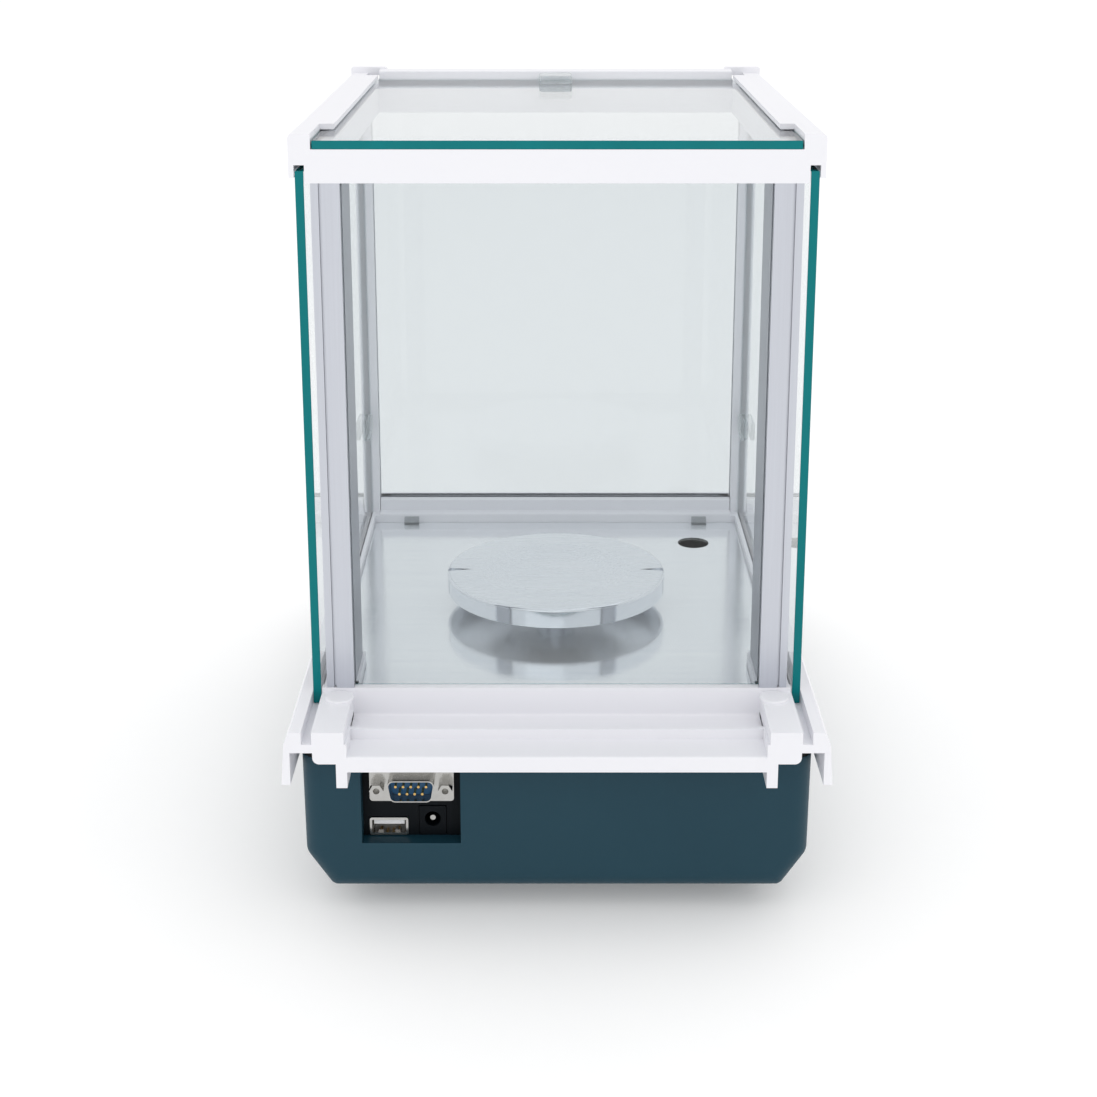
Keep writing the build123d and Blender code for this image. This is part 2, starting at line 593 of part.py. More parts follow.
def level_cup():
    """The cup that holds the level under its window in the tray."""
    top = DECK_TOP - 0.02
    cup = rod(LEVEL_RADIUS + 2.4, 0, 0, 58.0, top) + rod(LEVEL_RADIUS + 4.0, 0, 0, top - 0.96, top)
    return Pos(LEVEL_X, LEVEL_Y, 0) * (cup - rod(LEVEL_RADIUS + 0.4, 0, 0, 60.0, 80.0))


def level_vial():
    """The round spirit level: a glass puck with a domed top."""
    puck = rod(LEVEL_RADIUS, 0, 0, 60.0, 69.0)
    puck = fillet(puck.edges().sort_by(Axis.Z)[-1], 1.5)
    return Pos(LEVEL_X, LEVEL_Y, 0) * puck


def post_screw_caps():
    """Two flat buttons on the corner blocks, over the screws of the posts."""
    cap = rod(5.3, 79.4, CHAMBER_REAR + 5.6, COVER_TOP, COVER_TOP + 1.0)
    return both_sides(fillet(cap.edges().sort_by(Axis.Z)[-1], 0.6))


# ---------------------------------------------------------------- connectors


def y_tube(outline, y0, y1):
    """A sketch in (X, Z), carried along Y."""
    return extrude(Plane.XZ.offset(-y1) * outline, amount=y1 - y0)


def d_outline(width, height, radius=2.2):
    """The D shape of a serial connector: wide at the top, sides leaning in by 10 degrees."""
    lean = height * 0.1763 / 2
    outline = make_face(Polyline(
        (-width / 2 - lean / 2, height / 2), (width / 2 + lean / 2, height / 2),
        (width / 2 - lean * 1.5, -height / 2), (-width / 2 + lean * 1.5, -height / 2), close=True,
    ))  # fmt: skip
    return fillet(outline.vertices(), radius)


def connector_panel():
    """The dark plate behind the recess, cut out for the three connectors."""
    plate_solid = slab(PORT_LEFT - 2, PORT_RIGHT + 2, PORT_FACE - 4.0, PORT_FACE - 2.02, PORT_BOTTOM - 2, TUB_RIM - 1)
    plate_solid += slab(PORT_LEFT + 0.1, PORT_RIGHT - 0.1, PORT_FACE - 3, PORT_FACE, PORT_BOTTOM + 0.1, TUB_RIM - 1)
    for x, z, size in ((SERIAL_X, SERIAL_Z, (19.0, 10.6)), (USB_X, USB_Z, (14.4, 7.3)), (POWER_X, POWER_Z, (10.2, 11.4))):
        plate_solid -= Pos(x, 0, z) * slab(-size[0] / 2, size[0] / 2, 0, 200, -size[1] / 2, size[1] / 2)
    for side in (-1, 1):
        screw = Pos(SERIAL_X + side * SERIAL_SCREWS / 2, 0, SERIAL_Z) * y_tube(Circle(1.7), 100, 200)
        plate_solid -= screw
    return plate_solid


def serial_port_shell():
    """Flange and D-shaped skirt of the nine-pin connector."""
    flange = y_tube(RectangleRounded(30.8, 12.5, 1.2), PORT_FACE, PORT_FACE + 0.9)
    skirt = y_tube(d_outline(17.0, 8.4), PORT_FACE - 4, PORT_FACE + 6.0)
    bore = y_tube(d_outline(16.2, 7.6, 1.9), PORT_FACE - 5, PORT_FACE + 7)
    holes = [Pos(side * SERIAL_SCREWS / 2, 0, 0) * y_tube(Circle(1.6), 100, 200) for side in (-1, 1)]
    return Pos(SERIAL_X, 0, SERIAL_Z) * (flange + skirt - bore - holes[0] - holes[1])


def serial_pin_places():
    """Five pins above four, at 2.77 mm by 2.84 mm."""
    upper = [((i - 2) * 2.77, 1.42) for i in range(5)]
    lower = [((i - 1.5) * 2.77, -1.42) for i in range(4)]
    return upper + lower


def serial_port_insert():
    """The moulded insert that carries the pins, recessed in the skirt."""
    insert = y_tube(d_outline(16.1, 7.5, 1.9), PORT_FACE - 6, PORT_FACE + 0.6)
    for x, z in serial_pin_places():
        insert -= Pos(x, 0, z) * y_tube(Circle(0.5), 100, 200)
    return Pos(SERIAL_X, 0, SERIAL_Z) * insert


def serial_port_pins():
    """Nine round-ended pins."""
    pins = Part()
    for x, z in serial_pin_places():
        pin = y_tube(Circle(0.48), PORT_FACE - 8, PORT_FACE + 5.0)
        pins += Pos(x, 0, z) * pin
    return Pos(SERIAL_X, 0, SERIAL_Z) * pins


def serial_port_jackscrews():
    """Two hexagonal standoffs that fasten the connector."""
    screws = Part()
    for side in (-1, 1):
        hexagon = y_tube(RegularPolygon(2.6, 6), PORT_FACE + 0.92, PORT_FACE + 5.6)
        hexagon -= y_tube(Circle(1.2), PORT_FACE + 2, PORT_FACE + 8)
        stud = y_tube(Circle(1.5), PORT_FACE - 6, PORT_FACE + 1.5)
        screws += Pos(side * SERIAL_SCREWS / 2, 0, 0) * (hexagon + stud)
    return Pos(SERIAL_X, 0, SERIAL_Z) * screws


def usb_port_shell():
    """The folded steel shell of a USB type A socket, with its flared mouth."""
    tube = y_tube(RectangleRounded(13.2, 5.8, 0.6), PORT_FACE - 11, PORT_FACE + 0.2)
    mouth = y_tube(RectangleRounded(14.1, 6.9, 0.9), PORT_FACE - 0.2, PORT_FACE + 0.5)
    bore = y_tube(RectangleRounded(12.5, 5.1, 0.4), PORT_FACE - 10.5, PORT_FACE + 2)
    return Pos(USB_X, 0, USB_Z) * (tube + mouth - bore)


def usb_port_tongue():
    """The contact carrier inside the USB socket."""
    tongue = slab(-5.6, 5.6, PORT_FACE - 10.4, PORT_FACE - 1.0, 0.2, 2.0)
    return Pos(USB_X, 0, USB_Z) * (tongue + slab(-6.0, 6.0, PORT_FACE - 10.45, PORT_FACE - 8.5, -2.3, 2.3))


def power_jack_body():
    """The moulded body of the power socket, with its round mouth."""
    body = y_tube(RectangleRounded(9.8, 11.0, 0.8), PORT_FACE - 11, PORT_FACE + 0.4)
    body -= y_tube(Pos(0, 0.4) * Circle(2.95), PORT_FACE - 9, PORT_FACE + 2)
    return Pos(POWER_X, 0, POWER_Z) * body


def power_jack_pin():
    """The centre contact of the power socket."""
    return Pos(POWER_X, 0, POWER_Z + 0.4) * y_tube(Circle(1.0), PORT_FACE - 9, PORT_FACE - 0.6)


def connector_board():
    """The upright board that carries the connectors."""
    return slab(PORT_LEFT - 1, PORT_RIGHT + 1, PORT_FACE - 13.2, PORT_FACE - 11.6, 22.0, TUB_RIM - 4)


# ---------------------------------------------------------------- console


def key_places():
    """X of each key, evenly spaced about the middle."""
    count = len(KEY_NAMES)
    return [(i - (count - 1) / 2) * KEY_PITCH for i in range(count)]


def key_cap(x):
    """One push key: a crowned cap over a wider foot that stays under the cover."""
    cap = plate(KEY_SIZE[0], KEY_SIZE[1], 2.0, -COVER_WALL - 1.6, KEY_PROUD)
    cap = fillet(cap.faces().sort_by(Axis.Z)[-1].edges(), 0.6)
    foot = plate(KEY_SIZE[0] + 3.2, KEY_SIZE[1] + 3.2, 2.0, -COVER_WALL - 1.6, -COVER_WALL - 0.5)
    return console(KEY_AT, x) * (cap + foot)


def display_window():
    """The clear window let into the console, flush with its skin."""
    return console(WINDOW_AT) * plate(WINDOW[0] - 0.4, WINDOW[1] - 0.4, 2.8, -1.38, 0.0)


def lcd_module():
    """The display module under the window."""
    frame = plate(WINDOW[0] - 6, WINDOW[1] - 11, 1.0, -9.0, -COVER_WALL - 0.5)
    return console(WINDOW_AT) * (frame + plate(WINDOW[0] - 12, WINDOW[1] - 13, 0.5, -4.0, -2.4))


def display_board():
    """The circuit board behind the display and keys, with one switch under each key."""
    board = plate(138, 74, 2.0, -10.8, -9.2)
    solid = console(44) * board
    for x in key_places():
        solid += console(KEY_AT, x) * plate(6, 6, 0.5, -9.3, -COVER_WALL - 1.6 - KEY_TRAVEL - 0.3)
    return solid


# ---------------------------------------------------------------- inside


def weigh_cell_frame():
    """The monolithic weigh cell: a block with the slots that leave its guide arms free."""
    outline = [(0.0, 16.0), (0.0, 52.0), (104.0, 52.0), (104.0, 16.0)]
    block = across([(y + PAN_Y - 12, z) for y, z in outline], -26, 26, {1: 3.0, 2: 3.0})
    y0 = PAN_Y - 12
    for z in (24.0, 44.0):
        block -= slab(-30, 30, y0 + 26, y0 + 64, z - 0.8, z + 0.8)
    block -= slab(-30, 30, y0 + 24, y0 + 26, 23.2, 44.8)
    block -= slab(-30, 30, y0 + 66, y0 + 92, 26.0, 60.0)
    block -= rod(4.2, 0, PAN_Y, 40, 60)
    for x in (-20, 20):
        for y in (y0 + 8, y0 + 98):
            block -= rod(2.3, x, y, 10, 60)
    return block


def weigh_cell_plate():
    """The plate under the weigh cell, on four pads of the tub."""
    sheet = slab(-34, 34, PAN_Y - 20, PAN_Y + 98, FOOT_HEIGHT + 3.0, 15.9)
    sheet = fillet(sheet.edges().filter_by(Axis.Z), 5.0)
    return sheet - rod(12.0, 0, PAN_Y, 0, 20)


def magnet_system():
    """The pot magnet in the weigh cell's rear pocket, open upwards for the coil."""
    y = PAN_Y + 67
    pot = rod(12.0, 0, y, 26.1, 42.0)
    return pot - (rod(9.0, 0, y, 30.0, 43.0) - rod(6.0, 0, y, 29.0, 43.0))


def compensation_coil():
    """The wound coil that hangs in the magnet's gap from the lever."""
    y = PAN_Y + 67
    return rod(8.4, 0, y, 33.0, 46.0) - rod(6.6, 0, y, 32.0, 47.0)


def weigh_lever():
    """The lever that joins the guide arms to the coil."""
    y0, y1 = PAN_Y + 6, PAN_Y + 78
    outline = [(y0, 52.1), (y0, 56.0), (y0 + 20, 60.0), (y1, 60.0), (y1, 57.0), (y1 - 20, 52.1)]
    arm = across(outline, -5, 5, {2: 2.0, 3: 1.0})
    return arm + (rod(8.4, 0, PAN_Y + 67, 46.05, 54.0) & slab(-9, 9, 0, 200, 40, 60))


def main_board():
    """The main circuit board on the tub's left side."""
    return slab(-73, -44, -90, 96, 26.0, 27.6)


def underhook_plug():
    """The round plug that closes the hole for weighing below the balance."""
    plug = rod(10.9, 0, PAN_Y, FOOT_HEIGHT + 0.2, FOOT_HEIGHT + 2.9)
    return plug - slab(-8, 8, PAN_Y - 1, PAN_Y + 1, 0, FOOT_HEIGHT + 1.4)


# ---------------------------------------------------------------- feet and fasteners


def levelling_wheel():
    """A levelling foot: knurled wheel on a threaded stud, with room above it for its travel."""
    x, y = REAR_FEET
    wheel = rod(FOOT_WHEEL_RADIUS, 0, 0, 3.6, FOOT_HEIGHT - FOOT_TRAVEL - 0.4)
    flute = rod(1.1, FOOT_WHEEL_RADIUS + 0.4, 0, 0, 10)
    for turn in range(24):
        wheel -= Rot(Z=turn * 15) * flute
    return Pos(x, y, 0) * (wheel + rod(3.0, 0, 0, 5.0, FOOT_HEIGHT + 13))


def levelling_pad():
    """The rubber pad under a levelling wheel."""
    x, y = REAR_FEET
    pad = rod(9.0, x, y, 0, 3.6)
    return fillet(pad.edges().sort_by(Axis.Z)[0], 0.8)


def front_feet():
    """Two fixed rubber feet under the console."""
    x, y = FRONT_FEET
    foot = Pos(x, y, FOOT_HEIGHT / 2) * Cone(9.0, 11.0, FOOT_HEIGHT)
    return both_sides(fillet(foot.edges().sort_by(Axis.Z)[0], 1.0))


def housing_screws():
    """The screws that join the tub to the cover, from below."""
    screws = Part()
    for x, y in HOUSING_SCREWS:
        head = rod(2.9, x, y, FOOT_HEIGHT + 1.6, FOOT_HEIGHT + 4)
        head -= rod(1.2, x, y, 0, FOOT_HEIGHT + 2.8)
        screws += head + rod(1.2, x, y, FOOT_HEIGHT + 3.5, skin_bottom(y) - 2)
    return both_sides(screws)


def pair(prefix, solid):
    """A +X piece, on the right of someone facing the keys, and its mirror image on the left."""
    return {f"{prefix}_left": mirror(solid, Plane.YZ), f"{prefix}_right": solid}


def pieces():
    """Every node of the balance by name."""
    named = {
        "lower_housing": lower_housing(),
        "upper_cover": upper_cover(),
        "rim_seal": rim_seal(),
        **pair("rear_post", rear_post()),
        **pair("front_post", front_post()),
        **pair("top_rail", top_rail()),
        "rear_top_beam": rear_top_beam(),
        "front_top_beam": front_top_beam(),
        "front_glass": front_glass(),
        "rear_glass": rear_glass(),
        **pair("door_glass", side_door_glass()),
        **pair("door_handle", side_door_handle()),
        "top_door_glass": top_door_glass(),
        "top_door_handle": top_door_handle(),
        "floor_plate": floor_plate(),
        "floor_clips": floor_clips(),
        "weighing_pan": weighing_pan(),
        "pan_support": pan_support(),
        "level_cup": level_cup(),
        "level_vial": level_vial(),
        "post_screw_caps": post_screw_caps(),
        "connector_panel": connector_panel(),
        "serial_port_shell": serial_port_shell(),
        "serial_port_insert": serial_port_insert(),
        "serial_port_pins": serial_port_pins(),
        "serial_port_jackscrews": serial_port_jackscrews(),
        "usb_port_shell": usb_port_shell(),
        "usb_port_tongue": usb_port_tongue(),
        "power_jack_body": power_jack_body(),
        "power_jack_pin": power_jack_pin(),
        "connector_board": connector_board(),
        "display_window": display_window(),
        "lcd_module": lcd_module(),
        "display_board": display_board(),
        "weigh_cell_frame": weigh_cell_frame(),
        "weigh_cell_plate": weigh_cell_plate(),
        "weigh_lever": weigh_lever(),
        "magnet_system": magnet_system(),
        "compensation_coil": compensation_coil(),
        "main_board": main_board(),
        "underhook_plug": underhook_plug(),
        **pair("levelling_wheel", levelling_wheel()),
        **pair("levelling_pad", levelling_pad()),
        "front_feet": front_feet(),
        "housing_screws": housing_screws(),
    }
    for name, x in zip(KEY_NAMES, key_places()):
        named[f"key_{name}"] = key_cap(x)
    return named


os.makedirs("parts", exist_ok=True)
for node, solid in pieces().items():
    export_step(solid, f"parts/{node}.step")
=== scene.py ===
# %% [markdown]
# # Finishing an analytical balance
# A laboratory balance weighs to a tenth of a milligram, so its pan stands in a
# glass shield that keeps draughts away. The shield has two side doors and a top
# door that slide. Below it are a white moulded cover and a blue-grey housing.
# The rigid pieces come from a CAD model that is loaded first and never moved.
# This lesson gives each of them a finish, adds the small pieces that a CAD
# model leaves out, and then sets the studio round it. Blender works in metres,
# so sizes in millimetres are multiplied by MM.

# %% Load the frame
import math

import bmesh
import bpy
import numpy as np
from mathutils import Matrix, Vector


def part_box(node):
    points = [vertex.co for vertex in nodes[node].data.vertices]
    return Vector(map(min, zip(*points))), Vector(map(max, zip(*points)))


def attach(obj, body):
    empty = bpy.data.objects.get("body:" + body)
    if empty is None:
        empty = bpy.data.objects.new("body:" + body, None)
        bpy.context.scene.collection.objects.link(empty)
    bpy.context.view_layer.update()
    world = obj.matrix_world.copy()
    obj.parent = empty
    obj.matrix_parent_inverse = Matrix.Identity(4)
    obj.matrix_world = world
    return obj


MM = 0.001

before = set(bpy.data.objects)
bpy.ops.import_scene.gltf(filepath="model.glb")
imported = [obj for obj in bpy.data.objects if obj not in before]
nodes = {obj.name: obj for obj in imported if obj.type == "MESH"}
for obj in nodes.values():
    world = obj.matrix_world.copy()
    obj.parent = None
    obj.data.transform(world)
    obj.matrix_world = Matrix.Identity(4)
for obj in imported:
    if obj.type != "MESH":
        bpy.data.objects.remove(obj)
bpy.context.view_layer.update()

# %% [markdown]
# ## Shader sums as Python
# A finish is a small sum over a surface, such as a noise times a mask. It could
# be wired node by node, which is long and hard to read. A class that wraps a
# socket lets the sum be written as an expression, and each sign adds the Math
# node that does it. The reflected forms make 1 - mask work as well.

# %% Signal: one socket that can be used in sums


class Signal:
    """A shader socket. A sign used on it adds a Math node of that kind."""

    def __init__(self, finish, socket):
        self.finish = finish
        self.socket = socket

    def math(self, operation, *terms):
        """One Math node: its terms in order, each a number or a Signal."""
        return self.finish.add("ShaderNodeMath", {"operation": operation}, dict(enumerate(terms)))

    def __add__(self, other):
        return self.math("ADD", self, other)

    def __radd__(self, other):
        return self.math("ADD", other, self)

    def __sub__(self, other):
        return self.math("SUBTRACT", self, other)

    def __rsub__(self, other):
        return self.math("SUBTRACT", other, self)

    def __mul__(self, other):
        return self.math("MULTIPLY", self, other)

    def __rmul__(self, other):
        return self.math("MULTIPLY", other, self)

    def __pow__(self, other):
        return self.math("POWER", self, other)

    def __abs__(self):
        return self.math("ABSOLUTE", self)

    def __gt__(self, other):
        return self.math("GREATER_THAN", self, other)

    def __lt__(self, other):
        return self.math("LESS_THAN", self, other)

    def least(self, other):
        """The smaller of two values."""
        return self.math("MINIMUM", self, other)


print("signs that add nodes: + - * ** abs > <")

# %% [markdown]
# ## One method for every other node
# Noise, bump, mixing and the shaders themselves are nodes too. One method adds
# any of them: first its settings, because they decide which sockets it has, and
# then the values or links of its sockets. The helpers below are the patterns
# that nearly every finish uses.

# %% Finish: a material and its nodes


class Finish:
    """A material under a slot's name, built node by node."""

    def __init__(self, name):
        self.material = bpy.data.materials.get(name) or bpy.data.materials.new(name)
        self.material.use_nodes = True
        self.tree = self.material.node_tree
        self.tree.nodes.clear()

    def add(self, kind, settings=None, sockets=None, output=0):
        """Any node: its type, its settings, its sockets, and which output to hand on."""
        node = self.tree.nodes.new(kind)
        for key, value in (settings or {}).items():
            setattr(node, key, value)
        for key, value in (sockets or {}).items():
            if isinstance(value, Signal):
                self.tree.links.new(value.socket, node.inputs[key])
            else:
                node.inputs[key].default_value = value
        return Signal(self, node.outputs[output]) if len(node.outputs) else None

    def place(self, centre=(0, 0, 0), stretch=(1, 1, 1)):
        """Object coordinates measured from a centre, then stretched along the axes."""
        spot = self.add("ShaderNodeTexCoord", output="Object")
        moved = self.add("ShaderNodeVectorMath", {"operation": "SUBTRACT"}, {0: spot, 1: centre})
        return self.add("ShaderNodeVectorMath", {"operation": "MULTIPLY"}, {0: moved, 1: stretch})

    def part(self, vector, axis):
        """One component of a vector: X, Y or Z."""
        return self.add("ShaderNodeSeparateXYZ", sockets={0: vector}, output=axis)

    def facing(self, axis):
        """How far the surface faces along an axis, from 0 to 1 either way."""
        normal = self.add("ShaderNodeNewGeometry", output="True Normal")
        return abs(self.part(normal, axis))

    def grain(self, scale, stretch=(1, 1, 1), detail=3.0, centre=(0, 0, 0)):
        """Soft noise with that many waves a metre; a small stretch draws it out along that axis."""
        spot = self.place(centre, stretch)
        sockets = {"Vector": spot, "Scale": scale, "Detail": detail}
        return self.add("ShaderNodeTexNoise", sockets=sockets)

    def blend(self, share, first, second):
        """A colour between two, by a share from 0 to 1."""
        return self.add("ShaderNodeMix", {"data_type": "RGBA"}, {0: share, 6: first, 7: second}, output=2)

    def relief(self, height, depth, strength=1.0):
        """A normal that lets light see a height in metres that the mesh doesn't have."""
        sockets = {"Height": height, "Distance": depth, "Strength": strength}
        return self.add("ShaderNodeBump", sockets=sockets)

    def plastic(self, colour, roughness, normal=None, **others):
        """A Principled shader with a plastic or metal surface."""
        sockets = {"Base Color": colour, "Roughness": roughness}
        if normal is not None:
            sockets["Normal"] = normal
        sockets.update({key.replace("_", " "): value for key, value in others.items()})
        return self.add("ShaderNodeBsdfPrincipled", sockets=sockets)

    def done(self, shader):
        """Ends the material with this shader."""
        self.add("ShaderNodeOutputMaterial", sockets={"Surface": shader})
        return self.material


def tone(red, green, blue):
    """A colour on a scale of 0 to 255, as the linear numbers that shaders use."""
    parts = np.array([red, green, blue]) / 255
    linear = np.where(parts > 0.04045, ((parts + 0.055) / 1.055) ** 2.4, parts / 12.92)
    return (*linear.tolist(), 1.0)


print("mid grey is", round(tone(128, 128, 128)[0], 3))

# %% [markdown]
# ## The housing's paint
# The lower housing is cast and then powder coated in a dark blue-grey. Powder
# melts into a skin with a slight orange peel, about a millimetre from crest to
# crest. A picture of it would repeat, so noise in object coordinates is used:
# a fine one for the peel and a wide one for the faint cloudiness of the colour.

# %% Housing paint


def housing_paint():
    """Dark blue-grey powder coat: colour from a wide noise, relief from a fine one."""
    f = Finish("housing_paint")
    cloud = f.grain(16.0)
    peel = f.grain(900.0, detail=2.0)
    speck = f.grain(4200.0, detail=1.0)
    colour = f.blend(cloud, tone(26, 63, 77), tone(21, 57, 71))
    normal = f.relief(peel + 0.4 * speck, 0.00006, 0.5)
    return f.done(f.plastic(colour, 0.42 + 0.12 * peel, normal, Specular_IOR_Level=0.25))


housing_paint()
print("housing paint on", [n for n, o in nodes.items() if "housing_paint" in o.data.materials])

# %% [markdown]
# ## The white mouldings
# The cover, the top rails and the front posts are injection moulded. Their mould
# was spark eroded, which leaves a very fine, even grain and a satin shine. The
# same noise is used twice: as relief, and as a small change of roughness.

# %% White mouldings


def white_moulding():
    """Satin white plastic with the fine grain of a spark-eroded mould."""
    f = Finish("white_moulding")
    grain = f.grain(2400.0, detail=2.0)
    cloud = f.grain(9.0)
    colour = f.blend(cloud, tone(238, 238, 242), tone(234, 234, 239))
    normal = f.relief(grain, 0.00003, 0.35)
    return f.done(f.plastic(colour, 0.38 + 0.14 * grain, normal))


white_moulding()
print("white pieces:", len([o for o in nodes.values() if "white_moulding" in o.data.materials]))

# %% [markdown]
# ## Metals with a direction
# Extruded aluminium has die lines along its length, and a brushed steel tray has
# scratches along one axis. Both are a noise drawn out along that axis: where it
# varies across the lines, it tilts the normal and smears what the metal mirrors.
# Machined parts have the same lines bent into rings, which come from a noise
# that reads only the distance from the axis. The posts get painted shade, a darker
# colour, on the faces that look along X, and these faces are made rougher as well.

# %% Drawn, brushed and turned metals
LINES_A_METRE = 2600.0
RINGS_A_METRE = 2200.0


def lined_metal(name, colour, shine, axis, depth=0.000004, side_shade_and_dullness=0.0):
    """Noise drawn out along one axis gives the lines; faces that look along X get painted shade, a darker
    colour, and more roughness.
    """
    f = Finish(name)
    stretch = [1.0, 1.0, 1.0]
    stretch["XYZ".index(axis)] = 0.01
    lines = f.grain(LINES_A_METRE, stretch, detail=4.0)
    wide = f.grain(LINES_A_METRE / 12, stretch, detail=2.0)
    shade = f.blend(lines * 0.6 + wide * 0.4, tone(*(0.93 * c for c in colour)), tone(*colour))
    # painted shade: faces that look along X are darkened by their normal, not by a lamp; the same share
    # also makes them rougher
    side = f.facing("X") * side_shade_and_dullness
    shade = f.blend(side, shade, tone(*(0.72 * c for c in colour)))
    normal = f.relief(lines, depth)
    rough = shine * (0.75 + 0.5 * lines) + 0.2 * side
    return f.done(f.plastic(shade, rough, normal, Metallic=1.0))


def turned_metal(name, colour, shine, centre):
    """Metal turned on a lathe: noise of the distance from the axis gives the rings."""
    f = Finish(name)
    spot = f.place(centre)
    x, y = f.part(spot, "X"), f.part(spot, "Y")
    radius = (x * x + y * y) ** 0.5
    outwards = f.add("ShaderNodeCombineXYZ", sockets={0: radius * RINGS_A_METRE})
    rings = f.add("ShaderNodeTexNoise", sockets={"Vector": outwards, "Scale": 1.0, "Detail": 3.0})
    shade = f.blend(rings, tone(*(0.9 * c for c in colour)), tone(*colour))
    normal = f.relief(rings, 0.000006)
    return f.done(f.plastic(shade, shine * (0.8 + 0.4 * rings), normal, Metallic=1.0))


def middle(node):
    """The centre of a CAD node's box."""
    low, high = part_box(node)
    return (np.array(low) + np.array(high)) / 2


lined_metal("anodised_aluminium", (204, 207, 215), 0.34, "Z", depth=0.000003, side_shade_and_dullness=0.6)
lined_metal("cell_aluminium", (214, 216, 219), 0.36, "Y")
pan_middle = middle("weighing_pan").tolist()
turned_metal("magnet_steel", (150, 150, 152), 0.3, pan_middle)
print("pan centre:", [round(v, 4) for v in pan_middle])

# %% [markdown]
# ## The tray and the pan
# The chamber's floor is a stainless tray, brushed across the width. The pan is
# pressed from the same steel: satin on top and polished on its turned-down edge.
# One material could serve both, but the pan needs a mask that tells its edge
# from its top, and the normal gives it: the top faces up and the edge doesn't.

# %% Brushed tray and satin pan


def tray_steel():
    """Stainless sheet brushed across the width, with longer, wider bands in the brushing."""
    f = Finish("tray_steel")
    fine = f.grain(3400.0, (0.006, 1, 1), detail=3.0)
    band = f.grain(300.0, (0.012, 1, 1), detail=3.0)
    shade = f.blend(band * 0.6 + fine * 0.4, tone(236, 239, 243), tone(253, 254, 255))
    normal = f.relief(fine, 0.0000012)
    return f.done(f.plastic(shade, 0.1 + 0.08 * band, normal, Metallic=0.75))


def pan_steel():
    """Satin steel with a polished edge: roughness and brushing fade where the surface turns down."""
    f = Finish("pan_steel")
    top = f.facing("Z") > 0.8
    fine = f.grain(3000.0, (0.015, 1, 1), detail=3.0)
    cloud = f.grain(30.0)
    shade = f.blend(fine * 0.4 + cloud * 0.6, tone(228, 232, 237), tone(244, 246, 249))
    normal = f.relief(fine * top, 0.0000015)
    rough = 0.07 + top * (0.17 + 0.08 * fine)
    return f.done(f.plastic(shade, rough, normal, Metallic=0.8))


tray_steel()
pan_steel()
print("tray and pan finished")

# %% [markdown]
# ## Glass that is seen through
# Float glass is clear through its faces and teal along its edges, because light
# comes out there after a long way through iron-bearing glass. Refracting glass
# would be dark inside the shield, as lamps can't light through it. So the faces
# are a Transparent shader with a weak tint and a Fresnel share of mirror, and
# the edges are a plain teal. The mask is the normal along the sheet's thin side.

# %% Sheet glass
GLASS_TINT = (0.9, 0.914, 0.92, 1)
GLASS_EDGE = (4, 124, 128)


def sheet_glass(name, thin):
    """Clear faces and teal edges: the mask is how far the normal is off the thin axis."""
    f = Finish(name)
    rim = f.facing(thin) < 0.9
    back = f.add("ShaderNodeNewGeometry", output="Backfacing")
    clear = f.add("ShaderNodeBsdfTransparent", sockets={"Color": GLASS_TINT})
    mirror = f.add("ShaderNodeBsdfGlossy", sockets={"Color": (1, 1, 1, 1), "Roughness": 0.0})
    glance = f.add("ShaderNodeFresnel", sockets={"IOR": 1.45})
    face = f.add("ShaderNodeMixShader", sockets={0: glance * (1 - back), 1: clear, 2: mirror})
    cloud = f.grain(60.0, (1, 1, 0.1))
    colour = f.blend(cloud, tone(*GLASS_EDGE), tone(*(0.86 * c for c in GLASS_EDGE)))
    ground = f.plastic(colour, 0.25, Specular_IOR_Level=0.15)
    return f.done(f.add("ShaderNodeMixShader", sockets={0: rim * (1 - back), 1: face, 2: ground}))


def thin_axis(node):
    """The axis along which a CAD sheet is thinnest."""
    low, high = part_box(node)
    return "XYZ"[int(np.argmin(np.array(high) - np.array(low)))]


panes = [name for name, o in nodes.items() if "shield_glass" in o.data.materials]
for name in panes:
    axis = thin_axis(name)
    nodes[name].data.materials[0] = sheet_glass(f"shield_glass_{axis.lower()}", axis)
print("panes:", {name: thin_axis(name) for name in panes})

# %% [markdown]
# ## Clear grips and the display window
# The door grips are cast in clear plastic: mostly see-through, brighter at a
# glancing angle. The display window is a lightly smoked acrylic, through which
# the dark figures of the module are easy to read.

# %% Clear plastics


def clear_plastic(name, tint, haze, milk=tone(236, 240, 241)):
    """See-through plastic: a share of gloss on top of a tinted Transparent shader."""
    f = Finish(name)
    cloud = f.grain(120.0)
    clear = f.add("ShaderNodeBsdfTransparent", sockets={"Color": tint})
    body = f.plastic(milk, 0.06 + 0.04 * cloud)
    glance = f.add("ShaderNodeFresnel", sockets={"IOR": 1.49})
    share = (haze + 0.6 * glance).least(1.0)
    return f.done(f.add("ShaderNodeMixShader", sockets={0: share, 1: clear, 2: body}))


clear_plastic("clear_grip", (0.95, 0.96, 0.965, 1), 0.08)
clear_plastic("window_acrylic", (0.86, 0.87, 0.88, 1), 0.02, milk=tone(40, 44, 50))
print("clear plastics done")
